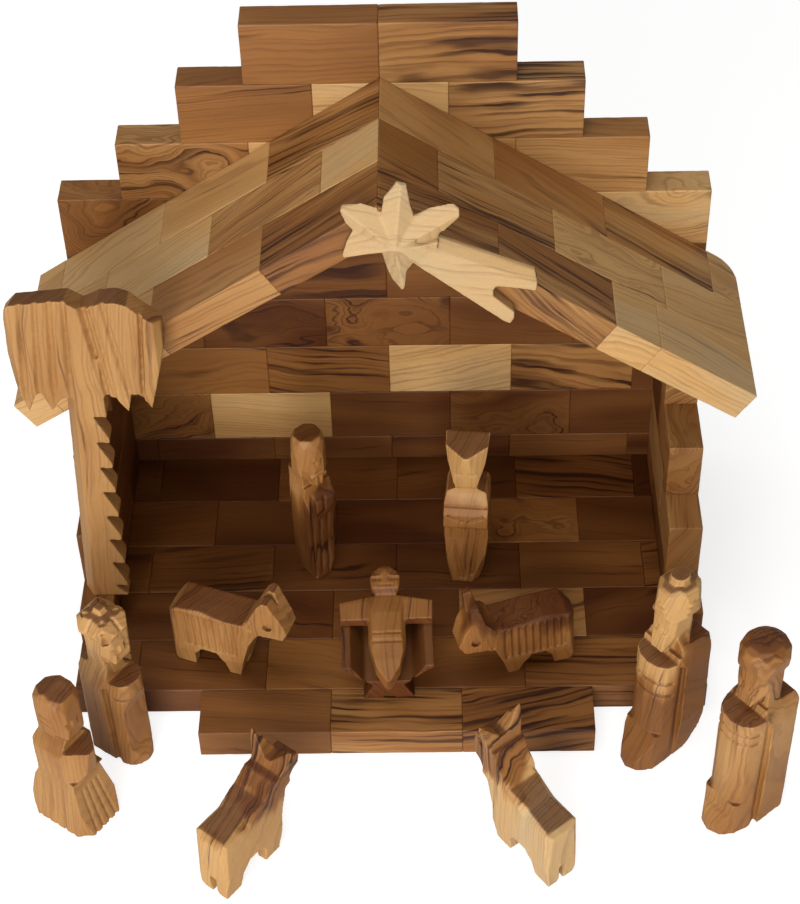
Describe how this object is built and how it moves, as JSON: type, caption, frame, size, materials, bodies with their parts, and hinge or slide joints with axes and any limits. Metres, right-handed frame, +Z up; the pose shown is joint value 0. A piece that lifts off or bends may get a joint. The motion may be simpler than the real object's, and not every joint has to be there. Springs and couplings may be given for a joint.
{
  "type": "nativity stable",
  "caption": "Open-fronted stable of glued wooden blocks with a pitched roof, comet star and palm tree, sheltering loose carved figures, a manger and animals for seasonal display.",
  "frame": {"origin": "Centre of the underside of the floor between the back wall and the front row's edge, on the table", "axes": "X to the right seen from the open front, Y towards the back wall, Z up"},
  "size_m": [0.3395, 0.2732, 0.2745],
  "materials": {
    "block_wood": "sawn and lightly oiled, dark streaks",
    "carved_wood": "knife-carved and lightly oiled",
    "pale_wood": "knife-carved, pale sapwood"
  },
  "bodies": {
    "stable": {"back_wall_course_1": "block_wood", "back_wall_course_2": "block_wood", "back_wall_course_3": "block_wood", "back_wall_course_4": "block_wood", "back_wall_course_5": "block_wood", "back_wall_course_6": "block_wood", "back_wall_course_7": "block_wood", "back_wall_course_8": "block_wood", "back_wall_course_9": "block_wood", "comet_star": "pale_wood", "floor_row_1": "block_wood", "floor_row_2": "block_wood", "floor_row_3": "block_wood", "floor_row_4": "block_wood", "floor_row_5": "block_wood", "floor_sill": "block_wood", "left_wall_course_1": "block_wood", "left_wall_course_2": "block_wood", "left_wall_course_3": "block_wood", "left_wall_course_4": "block_wood", "left_wall_wedge": "block_wood", "palm_tree": "pale_wood", "right_wall_course_1": "block_wood", "right_wall_course_2": "block_wood", "right_wall_course_3": "block_wood", "right_wall_course_4": "block_wood", "right_wall_wedge": "block_wood", "roof_left_row_1": "block_wood", "roof_left_row_2": "block_wood", "roof_left_row_3": "block_wood", "roof_right_row_1": "block_wood", "roof_right_row_2": "block_wood", "roof_right_row_3": "block_wood"},
    "left_adult": {"left_adult": "carved_wood"},
    "right_adult": {"right_adult": "carved_wood"},
    "manger": {"manger": "carved_wood"},
    "infant": {"infant": "carved_wood"},
    "sheep": {"sheep": "carved_wood"},
    "ox": {"ox": "carved_wood"},
    "rear_right_bearer": {"rear_right_bearer": "carved_wood"},
    "front_right_bearer": {"front_right_bearer": "carved_wood"},
    "rear_left_bearer": {"rear_left_bearer": "carved_wood"},
    "front_left_bearer": {"front_left_bearer": "carved_wood"},
    "left_donkey": {"left_donkey": "carved_wood"},
    "right_donkey": {"right_donkey": "carved_wood"}
  },
  "joints": [
    {"name": "left_adult_lift", "type": "slide", "parent": "stable", "child": "left_adult", "axis": [0, 0, 1], "range_m": [0, 0.06]},
    {"name": "right_adult_lift", "type": "slide", "parent": "stable", "child": "right_adult", "axis": [0, 0, 1], "range_m": [0, 0.06]},
    {"name": "manger_lift", "type": "slide", "parent": "stable", "child": "manger", "axis": [0, 0, 1], "range_m": [0, 0.06]},
    {"name": "infant_lift", "type": "slide", "parent": "manger", "child": "infant", "axis": [0, 0, 1], "range_m": [0, 0.06]},
    {"name": "sheep_lift", "type": "slide", "parent": "stable", "child": "sheep", "axis": [0, 0, 1], "range_m": [0, 0.06]},
    {"name": "ox_lift", "type": "slide", "parent": "stable", "child": "ox", "axis": [0, 0, 1], "range_m": [0, 0.06]},
    {"name": "rear_right_bearer_lift", "type": "slide", "parent": "stable", "child": "rear_right_bearer", "axis": [0, 0, 1], "range_m": [0, 0.08]},
    {"name": "front_right_bearer_lift", "type": "slide", "parent": "stable", "child": "front_right_bearer", "axis": [0, 0, 1], "range_m": [0, 0.08]},
    {"name": "rear_left_bearer_lift", "type": "slide", "parent": "stable", "child": "rear_left_bearer", "axis": [0, 0, 1], "range_m": [0, 0.08]},
    {"name": "front_left_bearer_lift", "type": "slide", "parent": "stable", "child": "front_left_bearer", "axis": [0, 0, 1], "range_m": [0, 0.08]},
    {"name": "left_donkey_lift", "type": "slide", "parent": "stable", "child": "left_donkey", "axis": [0, 0, 1], "range_m": [0, 0.08]},
    {"name": "right_donkey_lift", "type": "slide", "parent": "stable", "child": "right_donkey", "axis": [0, 0, 1], "range_m": [0, 0.08]}
  ]
}
